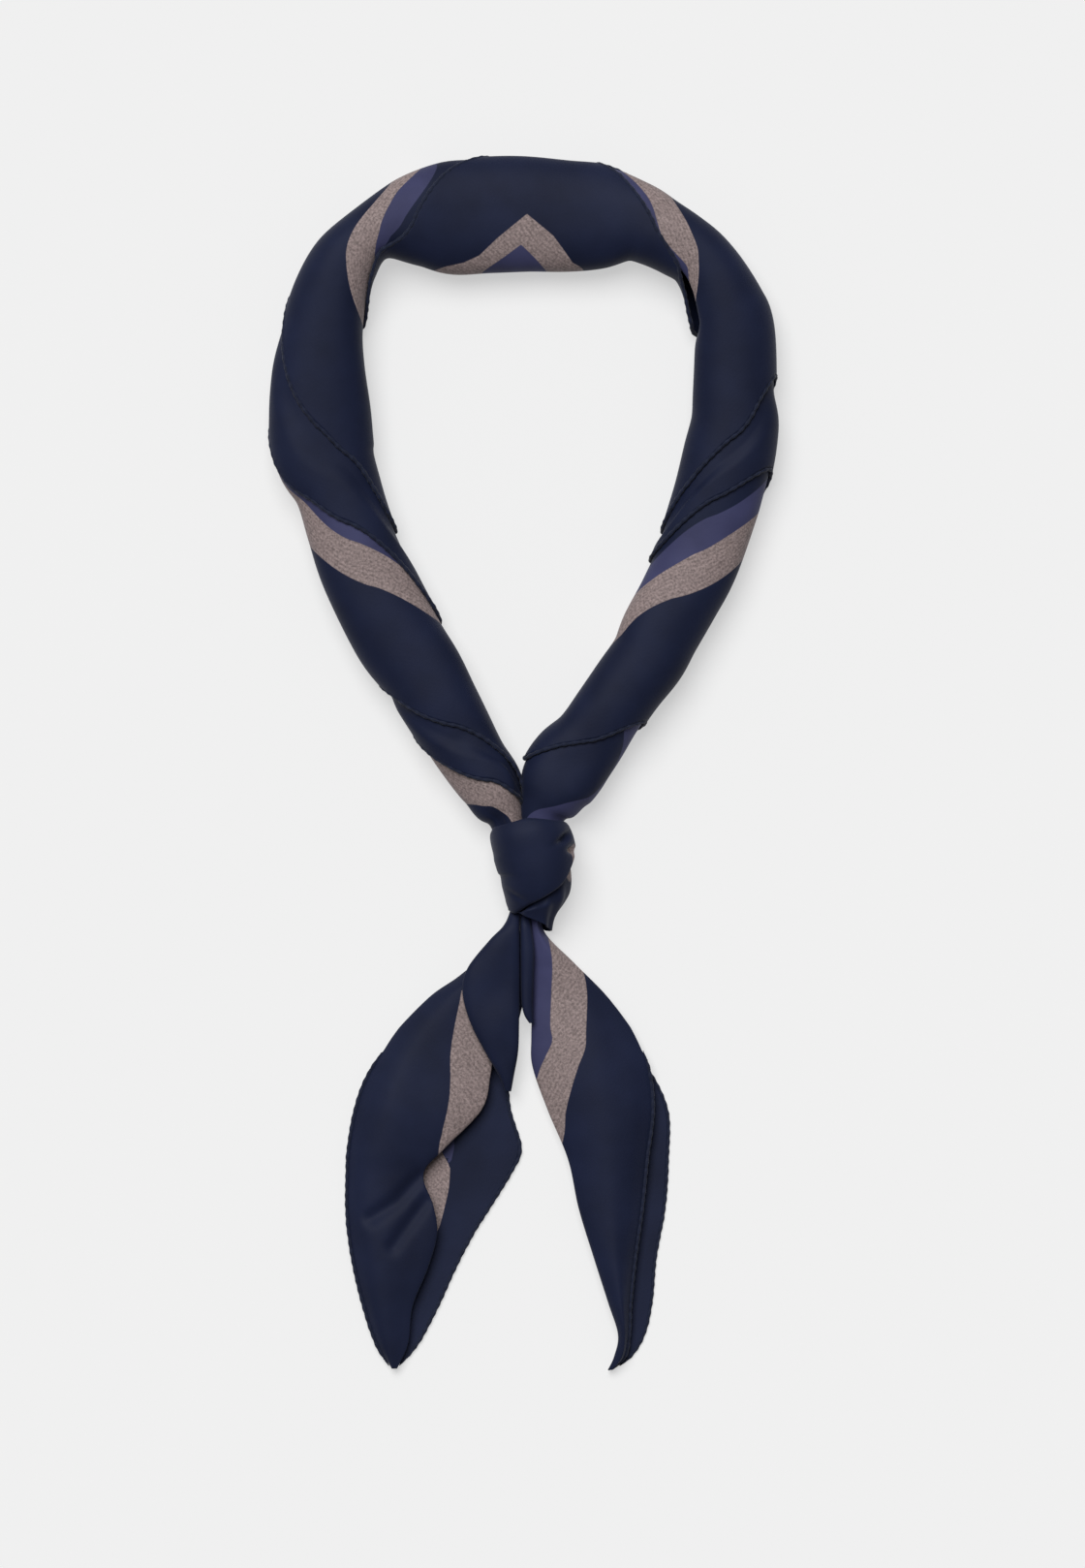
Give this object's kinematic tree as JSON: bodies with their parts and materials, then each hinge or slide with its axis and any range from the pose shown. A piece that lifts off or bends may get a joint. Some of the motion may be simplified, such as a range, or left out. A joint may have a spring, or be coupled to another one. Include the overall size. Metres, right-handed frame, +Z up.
{
  "type": "neckerchief",
  "caption": "Square silk neckerchief rolled on the bias into a neck loop, tied in one knot, with a striped border spiralling round the roll and two folded tails.",
  "frame": {"origin": "on the surface that it lies on, under the middle of its outline", "axes": "+X to the right of the picture, +Y from the tails to the back of the neck loop, +Z up off the surface"},
  "size_m": [0.1574, 0.3766, 0.0233],
  "materials": {
    "silk_twill": "soft sheen twill",
    "rolled_hem": "matte"
  },
  "bodies": {
    "root": {"back_turn": "silk_twill", "back_turn_left_hem": "rolled_hem", "back_turn_right_hem": "rolled_hem", "knot_under_turn": "silk_twill", "knot_wrap": "silk_twill", "left_tail": "silk_twill", "left_tail_far_hem": "rolled_hem", "left_tail_near_hem": "rolled_hem", "left_tail_pleat": "silk_twill", "left_turn_1": "silk_twill", "left_turn_1_hem": "rolled_hem", "left_turn_2": "silk_twill", "left_turn_2_hem": "rolled_hem", "left_turn_3": "silk_twill", "left_turn_3_hem": "rolled_hem", "left_turn_4": "silk_twill", "left_turn_4_hem": "rolled_hem", "left_turn_5": "silk_twill", "right_tail": "silk_twill", "right_tail_far_hem": "rolled_hem", "right_tail_near_hem": "rolled_hem", "right_tail_pleat": "silk_twill", "right_turn_1": "silk_twill", "right_turn_1_hem": "rolled_hem", "right_turn_2": "silk_twill", "right_turn_2_hem": "rolled_hem", "right_turn_3": "silk_twill", "right_turn_3_hem": "rolled_hem", "right_turn_4": "silk_twill"}
  },
  "joints": []
}
